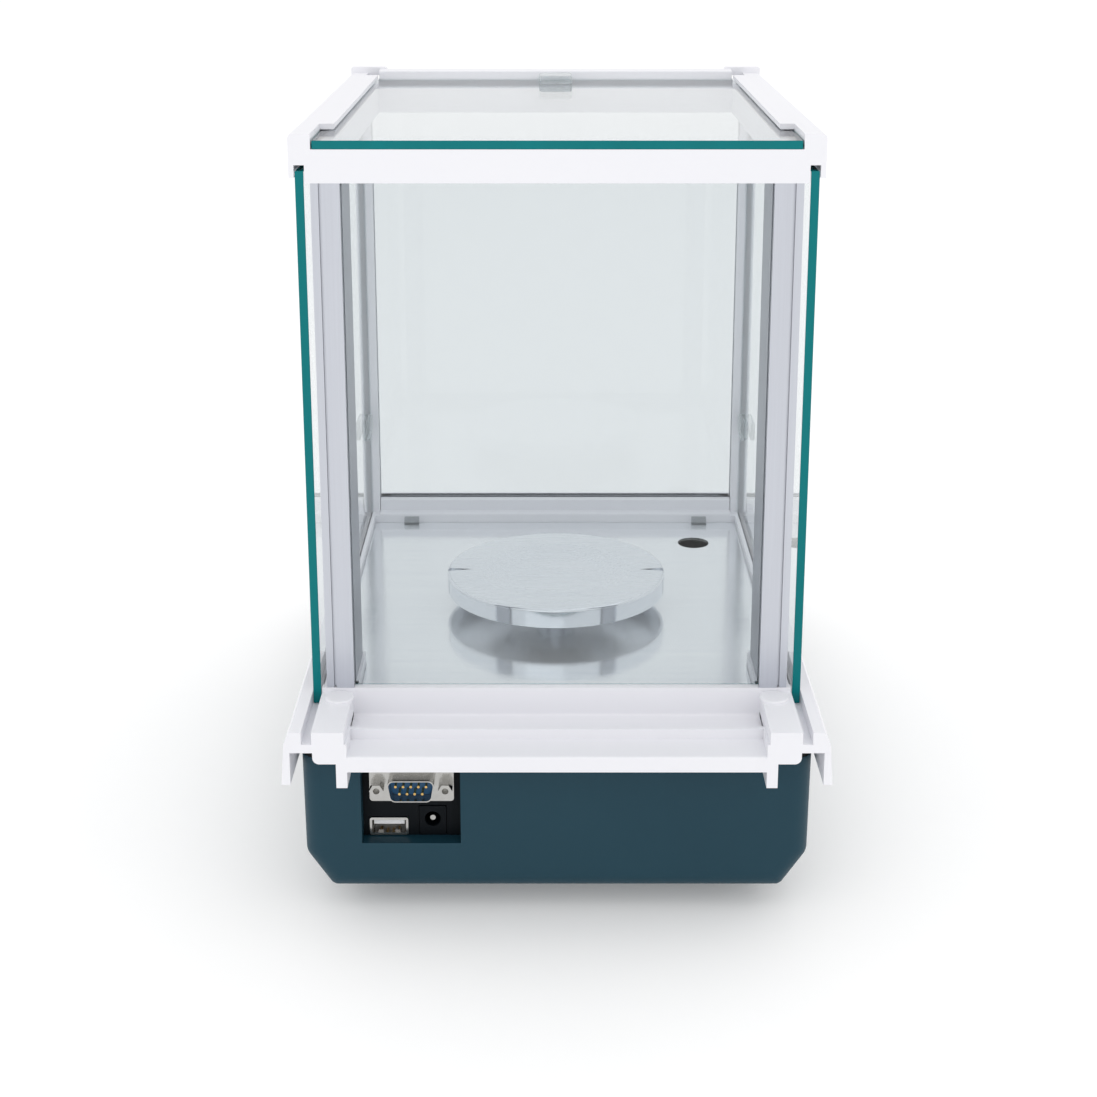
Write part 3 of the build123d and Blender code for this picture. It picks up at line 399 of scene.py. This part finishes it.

# %% [markdown]
# ## Plastics, rubber and foam
# Sockets, levelling wheels and the level's cup are black plastic and the feet are
# rubber. The seal is a near-black foam strip whose dark colour is painted shade: it
# stands in for the shadow in the gap between the cover and the housing. Key caps and
# insulators are paler plastics, and the display's module and the level's vial shine
# like glass. They differ in colour, in how coarse their skin is and in how much they
# shine, so one function makes them all. Ink, the level's spirit and the pale tongue
# of the USB socket use it as well.

# %% Grained finishes


def grained(name, colour, shine, scale, depth, shift=0.12, **others):
    """An opaque skin with grain: colour, roughness and relief follow one noise."""
    f = Finish(name)
    grain = f.grain(scale, detail=3.0)
    cloud = f.grain(scale / 40)
    dark = tone(*((1 - shift) * c for c in colour))
    shade = f.blend(grain * 0.5 + cloud * 0.5, dark, tone(*colour))
    normal = f.relief(grain, depth, 0.6)
    return f.done(f.plastic(shade, shine * (0.85 + 0.3 * grain), normal, **others))


grained("black_moulding", (3, 9, 15), 0.55, 1500.0, 0.00003, Specular_IOR_Level=0.14)
# painted shade: the seal's near-black colour stands in for the shadow in the gap under the cover
grained("seal_foam", (14, 15, 17), 0.9, 2200.0, 0.00012, 0.4)
grained("foot_rubber", (33, 34, 36), 0.75, 1300.0, 0.00005)
grained("key_cap", (196, 203, 211), 0.5, 2600.0, 0.00002, 0.03)
grained("blue_insulator", (28, 98, 150), 0.35, 1800.0, 0.00002)
grained("lcd_glass", (182, 198, 176), 0.22, 300.0, 0.000005, 0.04)
grained("level_glass", (84, 98, 108), 0.06, 90.0, 0.0, 0.1, Coat_Weight=0.6)
grained("level_fluid", (150, 176, 92), 0.08, 90.0, 0.0, 0.08, Coat_Weight=0.8)
grained("glazing_bead", (112, 118, 124), 0.5, 1600.0, 0.00002)
grained("printed_ink", (26, 30, 36), 0.5, 3000.0, 0.000004, 0.1)
grained("white_insulator", (236, 238, 240), 0.35, 1800.0, 0.00002, 0.03)
nodes["usb_port_tongue"].data.materials[0] = bpy.data.materials["white_insulator"]
print("grained finishes done")

# %% [markdown]
# ## Plating, gold, copper and circuit boards
# Nickel plate mirrors its surroundings with a warm cast and shows small pits.
# The coil is wound wire, so its relief is a wave along its axis, and the same
# wave paints shade into the grooves between the turns. A board has a green mask
# over copper tracks, and a brick pattern read in the board's plane gives the
# straight tracks and gaps cheaply. The pin of the power socket is nickel plated,
# unlike the gold pins that share its CAD finish.

# %% Plating, copper and boards


def plated(name, colour, shine):
    """Plated metal: a mirror with cloudy roughness and tiny pits."""
    f = Finish(name)
    cloud = f.grain(260.0)
    pits = f.grain(5200.0, detail=1.0)
    shade = f.blend(cloud, tone(*(0.9 * c for c in colour)), tone(*colour))
    normal = f.relief(pits, 0.000003)
    return f.done(f.plastic(shade, shine + 0.12 * cloud, normal, Metallic=1.0))


def coil_copper():
    """Enamelled wire in close turns: relief from waves up the coil's axis, and painted shade in the
    grooves from the same waves.
    """
    f = Finish("coil_copper")
    height = f.part(f.place(), "Z")
    turns = abs(height.math("SINE", height * 9000.0))
    # painted shade: the colour goes dark in the grooves between turns, where the wave is low
    shade = f.blend(turns, tone(116, 52, 22), tone(206, 120, 62))
    return f.done(f.plastic(shade, 0.28, f.relief(turns, 0.00012), Metallic=0.7))


def circuit_board():
    """Green solder mask over tracks: a brick pattern gives the tracks their edges."""
    f = Finish("circuit_board")
    spot = f.place(stretch=(420.0, 420.0, 420.0))
    sockets = {"Vector": spot, "Scale": 0.55, "Mortar Size": 0.06}
    tracks = f.add("ShaderNodeTexBrick", sockets=sockets, output="Fac")
    shade = f.blend(tracks, tone(16, 92, 52), tone(30, 128, 74))
    return f.done(f.plastic(shade, 0.32, f.relief(tracks, 0.00003)))


plated("nickel_plate", (192, 191, 188), 0.12)
plated("gold_contact", (222, 184, 112), 0.2)
coil_copper()
circuit_board()
nodes["power_jack_pin"].data.materials[0] = bpy.data.materials["nickel_plate"]
print("materials:", len(bpy.data.materials))

# %% [markdown]
# ## Surfaces from two parameters
# Each new piece is a grid of points worked out in one go: a shape is a function
# of two parameters, and numpy gives all its points as whole arrays. The faces
# are the quads between neighbours. Where a row shrinks to a point, the doubles
# are merged, so that the surface is closed, and its faces are turned outwards.

# %% Grid to mesh
CREASE = math.radians(35)
MERGE = 1e-7


def quads(rows, columns):
    """Quads between neighbours of a grid counted row by row, the last column joined to the first."""
    row, column = np.meshgrid(np.arange(rows - 1), np.arange(columns), indexing="ij")
    after = (column + 1) % columns
    near, far = row * columns, (row + 1) * columns
    return np.stack([near + column, near + after, far + after, far + column], -1).reshape(-1, 4)


def piece(name, surfaces, finish, body):
    """One object from grids of shape (rows, columns, 3), in a finish, riding on a body."""
    points, faces, count = [], [], 0
    for grid in surfaces:
        points.append(grid.reshape(-1, 3))
        faces.append(quads(*grid.shape[:2]) + count)
        count += grid.shape[0] * grid.shape[1]
    mesh = bpy.data.meshes.new(name)
    mesh.from_pydata(np.concatenate(points).tolist(), [], np.concatenate(faces).tolist())
    work = bmesh.new()
    work.from_mesh(mesh)
    bmesh.ops.remove_doubles(work, verts=work.verts, dist=MERGE)
    bmesh.ops.recalc_face_normals(work, faces=work.faces)
    work.to_mesh(mesh)
    work.free()
    mesh.shade_smooth()
    mesh.set_sharp_from_angle(angle=CREASE)
    mesh.materials.append(bpy.data.materials[finish])
    made = bpy.data.objects.new(name, mesh)
    bpy.context.scene.collection.objects.link(made)
    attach(made, body)
    print(name, "faces:", len(mesh.polygons))


print("a grid of 3 by 4 points has", len(quads(3, 4)), "quads")

# %% [markdown]
# ## Blocks with softened edges
# Contacts, springs and tabs are small pressed or moulded blocks. A superellipsoid
# gives such a block from two angles: its powers pull a sphere out towards a box
# and leave the edges soft. A power of one leaves it an ellipsoid.

# %% Soft block


def full_turn(count):
    """Equal steps round a circle, without the last one, which would repeat the first."""
    return np.arange(count) * 2 * np.pi / count


def pull(wave, power):
    """The size of a wave raised to a power, with the wave's own sign."""
    return np.sign(wave) * np.abs(wave) ** power


def soft_block(centre, half, power=0.2, rows=17, columns=32):
    """Superellipsoid: sines and cosines of two angles, each raised to a power, times the half sizes."""
    lift, turn = np.meshgrid(np.linspace(-np.pi / 2, np.pi / 2, rows), full_turn(columns), indexing="ij")
    level = pull(np.cos(lift), power)
    across = level * pull(np.cos(turn), power)
    along = level * pull(np.sin(turn), power)
    unit = np.stack([across, along, pull(np.sin(lift), power)], -1)
    unit[[0, -1], :, :2] = 0.0
    return np.array(centre) + unit * np.array(half)


print("block points:", soft_block((0, 0, 0), (1, 1, 1)).shape)

# %% [markdown]
# ## Inside the USB socket
# The tongue carries four gold strips on its lower side, and the shell has two
# sprung tabs that hold a plug. They are seen as small bright marks in the dark
# mouth. Each is one soft block, placed from the boxes of the CAD tongue and shell.

# %% USB strips and springs
STRIP_PITCH = 2.2 * MM
STRIP_HALF = (0.55 * MM, 3.0 * MM, 0.08 * MM)
SPRING_SIDE = 3.1 * MM
SPRING_HALF = (1.1 * MM, 1.6 * MM, 0.22 * MM)
tongue_low, tongue_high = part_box("usb_port_tongue")
shell_low, shell_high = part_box("usb_port_shell")
tongue_x = middle("usb_port_tongue")[0]
strip_y, strip_z = tongue_high.y - 4.0 * MM, tongue_low.z + 2.48 * MM
spring_y, spring_z = shell_high.y - 2.6 * MM, shell_low.z + 1.25 * MM
strips = [
    soft_block((tongue_x + step * STRIP_PITCH, strip_y, strip_z), STRIP_HALF)
    for step in (-1.5, -0.5, 0.5, 1.5)
]
piece("usb_contacts", strips, "gold_contact", "balance")
springs = [
    soft_block((tongue_x + side * SPRING_SIDE, spring_y, spring_z), SPRING_HALF)
    for side in (-1, 1)
]
piece("usb_springs", springs, "nickel_plate", "balance")

# %% [markdown]
# ## Rings
# The level's target circle and some of the key symbols are rounded strips that
# follow a circle: one angle goes round the circle and the other round the strip.
# An arc is an open ring whose two ends shrink to a point, which closes them.

# %% Rings and arcs


def ring(centre, radius, half_width, half_height, start=0.0, turn=2 * np.pi, rows=49, columns=12):
    """Torus: the circle (cos a, sin a) times the radius, plus the strip's own flattened circle."""
    path = start + np.linspace(0, turn, rows)
    along, around = np.meshgrid(path, full_turn(columns), indexing="ij")
    reach = radius + half_width * np.cos(around)
    height = half_height * np.sin(around)
    points = np.stack([reach * np.cos(along), reach * np.sin(along), height], -1)
    if turn < 2 * np.pi:
        points[[0, -1]] = points[[0, -1]].mean(axis=1, keepdims=True)
    return np.array(centre) + points


print("ring points:", ring((0, 0, 0), 1, 0.1, 0.1).shape)

# %% [markdown]
# ## The bubble level
# A round level is a cup of tinted spirit under a lid, with an air bubble and a
# circle to centre it in. The spirit and the bubble are flat lenses at the top of
# the vial, and the circle is a thin painted ring round the bubble. The bubble
# stands a little off the centre, as on a balance that was just put down.

# %% Bubble and target circle
FLUID_HALF = (6.2 * MM, 6.2 * MM, 0.3 * MM)
BUBBLE_HALF = (2.1 * MM, 2.1 * MM, 0.22 * MM)
BUBBLE_OFFSET = (0.5 * MM, 0.4 * MM, 0.12 * MM)
CIRCLE_RADIUS = 3.0 * MM
level_top = middle("level_vial")
level_top[2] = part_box("level_vial")[1].z
fluid = soft_block(level_top + (0, 0, -0.15 * MM), FLUID_HALF, power=1.0)
piece("level_fluid", [fluid], "level_fluid", "balance")
bubble = soft_block(level_top + BUBBLE_OFFSET, BUBBLE_HALF, power=1.0)
piece("level_bubble", [bubble], "white_insulator", "balance")
circle = ring(level_top + (0, 0, 0.16 * MM), CIRCLE_RADIUS, 0.14 * MM, 0.06 * MM)
piece("level_circle", [circle], "printed_ink", "balance")

# %% [markdown]
# ## The bead under the front glass
# The fixed front glass stands in a groove of the moulding and is held by a grey
# elastic bead on either side. Seen through the chamber, the bead is the thin line
# between the glass and the sill. Each is one long soft block, half sunk in the sill.

# %% Bead
SILL_TOP = 85.8 * MM
BEAD_RISE = 0.25 * MM
glass_low, glass_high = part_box("front_glass")
bead_half = ((glass_high.x - glass_low.x) / 2 - 1.0 * MM, 0.3 * MM, 0.32 * MM)
beads = [
    soft_block((0, y, SILL_TOP + BEAD_RISE), bead_half, power=0.4)
    for y in (glass_low.y - 0.25 * MM, glass_high.y + 0.25 * MM)
]
piece("front_glass_bead", beads, "glazing_bead", "balance")

# %% [markdown]
# ## A plane for the display and the keys
# The console slopes down to the front, so its figures and symbols are laid out in
# a plane of their own: across, up the slope and out of it. One function turns
# such local coordinates into the world's. The plane's place comes from the part
# below it: the highest point of its mesh along the outward direction.

# %% Console plane
CONSOLE_RISE = 29.2 * MM
CONSOLE_RUN = 79.0 * MM
tilt = math.atan2(CONSOLE_RISE, CONSOLE_RUN)
across_slope = np.array([1.0, 0.0, 0.0])
up_slope = np.array([0.0, math.cos(tilt), math.sin(tilt)])
outward = np.array([0.0, -math.sin(tilt), math.cos(tilt)])


def upper_face(node):
    """The part's centre, moved outward until it is level with the highest point of its mesh."""
    mesh = nodes[node].data
    flat = np.empty(3 * len(mesh.vertices))
    mesh.vertices.foreach_get("co", flat)
    world = np.array(nodes[node].matrix_world)
    points = flat.reshape(-1, 3) @ world[:3, :3].T + world[:3, 3]
    centre = middle(node)
    return centre + outward * ((points @ outward).max() - centre @ outward)


def laid(grids, origin):
    """Grids of local points (across, up the slope, outward) as world points."""
    axes = np.stack([across_slope, up_slope, outward])
    return [origin + grid @ axes for grid in grids]


print("display plane at", upper_face("lcd_module").round(4).tolist())

# %% [markdown]
# ## Figures on the display
# The display shows a zero reading in seven-segment figures. A segment is a thin
# soft block, three across and four upright in each figure, and the reading is
# laid out from left to right. A zero leaves out the middle segment.

# %% Seven-segment reading
FIGURE_PITCH = 11.0 * MM
FIRST_FIGURE = -26.0 * MM
FIGURE_HALF = (3.2 * MM, 6.6 * MM)
UNIT_HALF = (2.0 * MM, 3.6 * MM)
UNIT_AT = (31.0 * MM, -3.0 * MM)
POINT_AT = (-20.4 * MM, -6.6 * MM)
SEGMENT_HALF = 0.62 * MM
SEGMENT_GAP = 0.7 * MM
FILM = 0.05 * MM
FILM_LIFT = 0.09 * MM
LEVEL_SEGMENTS = {"top": 1, "middle": 0, "bottom": -1}
UPRIGHT_SEGMENTS = {
    "upper_left": (-1, 0.5),
    "upper_right": (1, 0.5),
    "lower_left": (-1, -0.5),
    "lower_right": (1, -0.5),
}


def segment(x, y, half_x, half_y):
    """One flat mark of the display."""
    return soft_block((x, y, FILM_LIFT), (half_x, half_y, FILM), power=0.5, rows=9, columns=24)


def figure(x, y, half, without):
    """One figure of that half size about a point: its seven segments but the one left out."""
    wide, tall = half
    level = [
        segment(x, y + place * tall, wide - SEGMENT_GAP, SEGMENT_HALF)
        for name, place in LEVEL_SEGMENTS.items()
        if name != without
    ]
    upright = [
        segment(x + side * wide, y + place * tall, SEGMENT_HALF, tall / 2 - SEGMENT_GAP)
        for name, (side, place) in UPRIGHT_SEGMENTS.items()
        if name != without
    ]
    return level + upright


reading = [soft_block((*POINT_AT, FILM_LIFT), (SEGMENT_GAP, SEGMENT_GAP, FILM), rows=9, columns=24)]
for place in range(5):
    reading += figure(FIRST_FIGURE + place * FIGURE_PITCH, 0.0, FIGURE_HALF, "middle")
reading += figure(*UNIT_AT, UNIT_HALF, "lower_left")
figures = laid(reading, upper_face("lcd_module"))
piece("display_figures", figures, "printed_ink", "balance")

# %% [markdown]
# ## The window's dark border
# The window is printed black round the edge from behind, which hides the rim of
# the module. Four flat bars under the window make this border.

# %% Border
BORDER_DEPTH = 1.65 * MM
BORDER_ACROSS = 48.8 * MM
BORDER_UP = 14.2 * MM
LONG_BAR_HALF = (51.2 * MM, 2.9 * MM, 0.1 * MM)
SHORT_BAR_HALF = (2.4 * MM, 11.6 * MM, 0.1 * MM)
border = []
for side in (-1, 1):
    border.append(soft_block((0, side * BORDER_UP, 0), LONG_BAR_HALF, power=0.06))
    border.append(soft_block((side * BORDER_ACROSS, 0, 0), SHORT_BAR_HALF, power=0.06))
bars = laid(border, upper_face("display_window") - BORDER_DEPTH * outward)
piece("window_border", bars, "printed_ink", "balance")

# %% [markdown]
# ## Symbols on the keys
# Each key carries a plain printed symbol, which moves with it. They are built of
# bars and rings only: a ring with a stroke switches on, a ring between two
# strokes sets zero, three bars open the menu, and so on. Their sizes are in
# millimetres, about the middle of the key.

# %% Key symbols
LINE = 0.25
INK_LIFT = 0.02 * MM
INK = 0.03 * MM


def stroke(x, y, half_x, half_y):
    """A flat printed bar."""
    centre, half = (x * MM, y * MM, INK_LIFT), (half_x * MM, half_y * MM, INK)
    return soft_block(centre, half, power=0.3, rows=9, columns=24)


def loop(x, y, radius, start=0.0, turn=2 * np.pi):
    """A flat printed ring or arc."""
    return ring((x * MM, y * MM, INK_LIFT), radius * MM, LINE * MM, INK, start, turn)


sheet_sides = [stroke(0, side * 1.9, 2.4, LINE) for side in (1, -1)]
sheet_ends = [stroke(side * 2.4, 0, LINE, 1.9) for side in (-1, 1)]
symbols = {
    "key_power": [loop(0, -0.2, 2.2, 2.2, 5.0), stroke(0, 1.6, LINE, 1.4)],
    "key_tare": [loop(0, 0, 1.8), stroke(-4.4, 0, 1.3, LINE), stroke(4.4, 0, 1.3, LINE)],
    "key_menu": [stroke(0, y, 2.6, 0.28) for y in (-1.7, 0, 1.7)],
    "key_print": [*sheet_sides, *sheet_ends, stroke(0, 0, 1.4, LINE)],
    "key_units": [loop(-2.1, 0, 1.3), loop(2.1, 0, 1.3), stroke(0, 0, 0.6, LINE)],
    "key_calibrate": [stroke(0, -1.0, 2.0, 1.2), loop(0, 1.4, 0.9)],
}
for key, marks in symbols.items():
    piece(f"{key}_symbol", laid(marks, upper_face(key)), "printed_ink", f"{key}_body")

# %% [markdown]
# ## The floor
# The balance stands on a wide pale floor. The floor also lights itself a little,
# as an overexposed sweep does in a studio, so that it stays white beyond the
# soft shadow round the housing. It is one large square, because its edge must
# lie past the horizon of every view.

# %% Floor
FLOOR_REACH = 14.0
FLOOR_COLOUR = (0.86, 0.86, 0.86, 1)
FLOOR_ROUGHNESS = 0.9
FLOOR_GLOW = 0.18
WHITE = (1, 1, 1, 1)
corners = [(x * FLOOR_REACH, y * FLOOR_REACH, 0) for x, y in ((-1, -1), (1, -1), (1, 1), (-1, 1))]
floor_mesh = bpy.data.meshes.new("studio_floor")
floor_mesh.from_pydata(corners, [], [(0, 1, 2, 3)])
floor = bpy.data.objects.new("studio_floor", floor_mesh)
bpy.context.scene.collection.objects.link(floor)
paper = Finish("studio_paper")
sheet = paper.plastic(FLOOR_COLOUR, FLOOR_ROUGHNESS, Emission_Color=WHITE, Emission_Strength=FLOOR_GLOW)
paper.done(sheet)
floor_mesh.materials.append(paper.material)
print("floor half width:", FLOOR_REACH, "m")

# %% [markdown]
# ## The light
# White goods are shown under even light from all sides, which a white world
# gives. Two large, weak lamps add the direction that it lacks: one behind the
# camera and one above.

# %% Light


def soft_lamp(name, spot, aim, size, power):
    """A square lamp of that size at a spot, turned towards an aim."""
    lamp = bpy.data.lights.new(name, "AREA")
    lamp.shape = "SQUARE"
    lamp.size = size
    lamp.energy = power
    holder = bpy.data.objects.new(name, lamp)
    bpy.context.scene.collection.objects.link(holder)
    away = np.array(spot) - np.array(aim)
    flat = math.hypot(away[0], away[1])
    holder.location = spot
    holder.rotation_euler = (math.atan2(flat, away[2]), 0, math.atan2(away[0], -away[1]))


world = bpy.data.worlds.new("studio_air")
world.use_nodes = True
air = world.node_tree.nodes["Background"].inputs
air["Color"].default_value = WHITE
air["Strength"].default_value = 1.0
bpy.context.scene.world = world
soft_lamp("lamp_rear", spot=(0.5, 2.4, 1.3), aim=(0, 0.1, 0.12), size=1.8, power=3.0)
soft_lamp("lamp_above", spot=(-0.6, -0.2, 2.4), aim=(0, 0, 0.1), size=2.0, power=5.0)
bpy.context.scene.view_settings.view_transform = "Standard"
bpy.context.scene.view_settings.look = "None"

# %% [markdown]
# ## The camera
# The camera stands behind the balance and looks down at it a little. Its lens is
# shifted, as that of a view camera is, so that it needn't tilt as far and the
# uprights stay nearly upright.

# %% Camera
LOOK_DOWN = 15.2
eye = bpy.data.cameras.new("camera")
eye.lens = 60.63
eye.sensor_width = 36.0
eye.shift_x = -0.0013
eye.shift_y = -0.147
camera = bpy.data.objects.new("camera", eye)
bpy.context.scene.collection.objects.link(camera)
camera.location = (0.0025, 0.7615, 0.3661)
camera.rotation_euler = (math.radians(90 - LOOK_DOWN), 0, math.radians(180))
bpy.context.scene.camera = camera
print("camera height:", round(camera.location.z, 4), "m")
